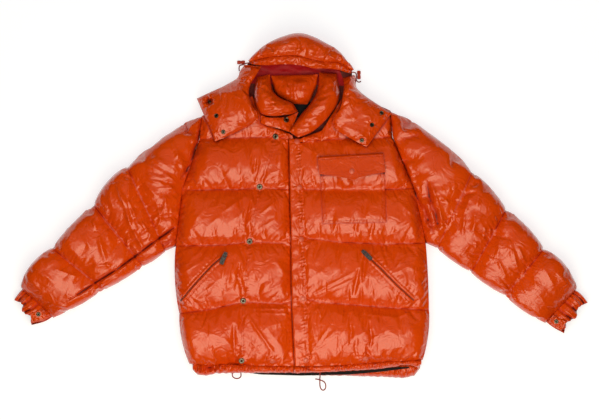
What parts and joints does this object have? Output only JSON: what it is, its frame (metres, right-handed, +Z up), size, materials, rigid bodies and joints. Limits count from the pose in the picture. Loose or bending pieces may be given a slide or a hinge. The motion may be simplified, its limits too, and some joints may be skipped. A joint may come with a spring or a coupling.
{
  "type": "hooded puffer jacket",
  "caption": "Glossy orange down-filled jacket with a hood, laid flat on its back with the sleeves spread.",
  "frame": {"origin": "on the surface the jacket lies on, under the middle of its outline", "axes": "+Z up out of the front of the jacket, +Y towards the hood, +X towards the wearer's left sleeve"},
  "size_m": [1.4332, 0.8903, 0.1093],
  "materials": {
    "shell": "glossy downproof nylon",
    "lining": "plain black lining",
    "snap_metal": "gunmetal",
    "snap_cap": "gloss enamel",
    "zip_metal": "polished nickel",
    "cord": "braided",
    "cord_lock": "moulded"
  },
  "bodies": {
    "jacket": {"back_panel": "shell", "front_right": "shell", "front_left": "shell", "placket": "shell", "sleeve_right": "shell", "sleeve_left": "shell", "cuff_right": "shell", "cuff_left": "shell", "cuff_tab_right": "shell", "cuff_tab_left": "shell", "hem_front_right": "shell", "hem_front_left": "shell", "hem_back": "shell", "collar_right": "shell", "collar_left": "shell", "collar_back": "shell", "collar_tab": "shell", "hood_back": "shell", "hood_crown": "shell", "hood_brim": "shell", "hood_side_right": "shell", "hood_side_left": "shell", "pocket_patch": "shell", "pocket_flap": "shell", "lining_hem": "lining", "lining_neck": "lining", "snap_ring_1": "snap_metal", "snap_ring_2": "snap_metal", "snap_ring_3": "snap_metal", "snap_ring_4": "snap_metal", "snap_ring_5": "snap_metal", "snap_ring_6": "snap_metal", "snap_hood_right_1": "snap_metal", "snap_hood_right_2": "snap_metal", "snap_hood_right_3": "snap_metal", "snap_hood_left_1": "snap_metal", "snap_hood_left_2": "snap_metal", "snap_hood_left_3": "snap_metal", "snap_cuff_right": "snap_metal", "snap_cuff_left": "snap_metal", "snap_cap_1": "snap_cap", "snap_cap_2": "snap_cap", "snap_cap_3": "snap_cap", "snap_cap_4": "snap_cap", "snap_cap_5": "snap_cap", "snap_cap_6": "snap_cap", "snap_cap_7": "snap_cap", "snap_cap_8": "snap_cap", "zip_slider_right": "zip_metal", "zip_slider_left": "zip_metal", "zip_right": "cord", "zip_left": "cord", "hem_cord_right": "cord", "hem_cord_left": "cord", "hood_cord_right": "cord", "hood_cord_left": "cord", "cord_lock_right": "cord_lock", "cord_lock_left": "cord_lock"},
    "pull_right": {"zip_pull_right": "zip_metal"},
    "pull_left": {"zip_pull_left": "zip_metal"}
  },
  "joints": [
    {"name": "pull_right_hinge", "type": "hinge", "parent": "jacket", "child": "pull_right", "pos_m": [-0.18805, -0.11999, 0.07681], "axis": [-0.912, 0.4063, 0.0556], "range_deg": [0, 120]},
    {"name": "pull_left_hinge", "type": "hinge", "parent": "jacket", "child": "pull_left", "pos_m": [0.15583, -0.11413, 0.07411], "axis": [-0.7191, -0.6831, 0.1276], "range_deg": [0, 120]}
  ]
}
